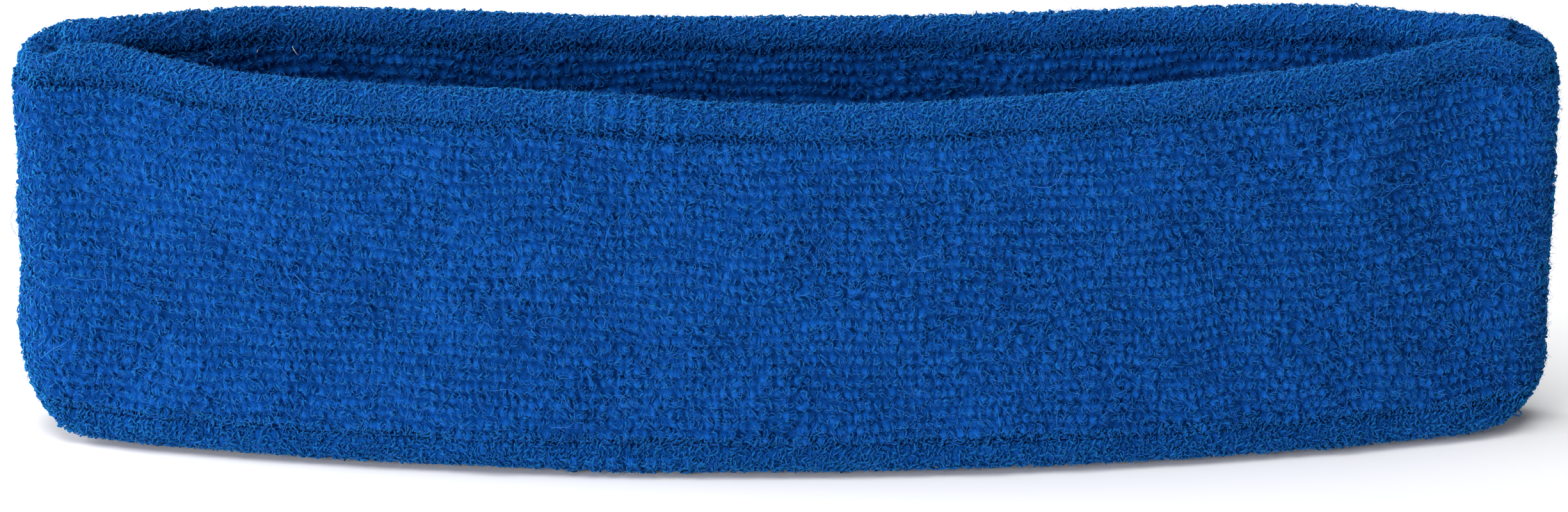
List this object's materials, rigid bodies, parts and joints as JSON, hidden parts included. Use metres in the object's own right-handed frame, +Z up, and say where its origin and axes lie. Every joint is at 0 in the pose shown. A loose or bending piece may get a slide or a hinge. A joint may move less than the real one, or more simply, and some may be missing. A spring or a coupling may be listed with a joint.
{
  "type": "sports headband",
  "caption": "Terry-cloth sports headband: a relaxed elastic loop of double-layer fabric with turned welts at both rims, standing on its lower rim.",
  "frame": {"origin": "middle of the loop, on the plane that the lower rim rests on", "axes": "+Z up along the band's height, X along the flattened loop's length, -Y towards the front wall"},
  "size_m": [0.185, 0.0372, 0.0512],
  "materials": {
    "terry": "royal blue cotton terry, matte looped pile",
    "welt": "royal blue knitted welt, matte",
    "elastic": "off-white covered elastic yarn",
    "thread": "blue polyester sewing thread"
  },
  "bodies": {
    "root": {"outer_terry_layer": "terry", "inner_terry_layer": "terry", "top_rim_welt": "welt", "bottom_rim_welt": "welt", "top_rim_elastic_cord": "elastic", "bottom_rim_elastic_cord": "elastic", "top_rim_needle_thread": "thread", "top_rim_looper_thread": "thread", "bottom_rim_needle_thread": "thread", "bottom_rim_looper_thread": "thread", "elastic_yarn_01": "elastic", "elastic_yarn_02": "elastic", "elastic_yarn_03": "elastic", "elastic_yarn_04": "elastic", "elastic_yarn_05": "elastic", "elastic_yarn_06": "elastic", "elastic_yarn_07": "elastic", "elastic_yarn_08": "elastic", "elastic_yarn_09": "elastic", "elastic_yarn_10": "elastic", "back_join_seam_thread": "thread"}
  },
  "joints": []
}
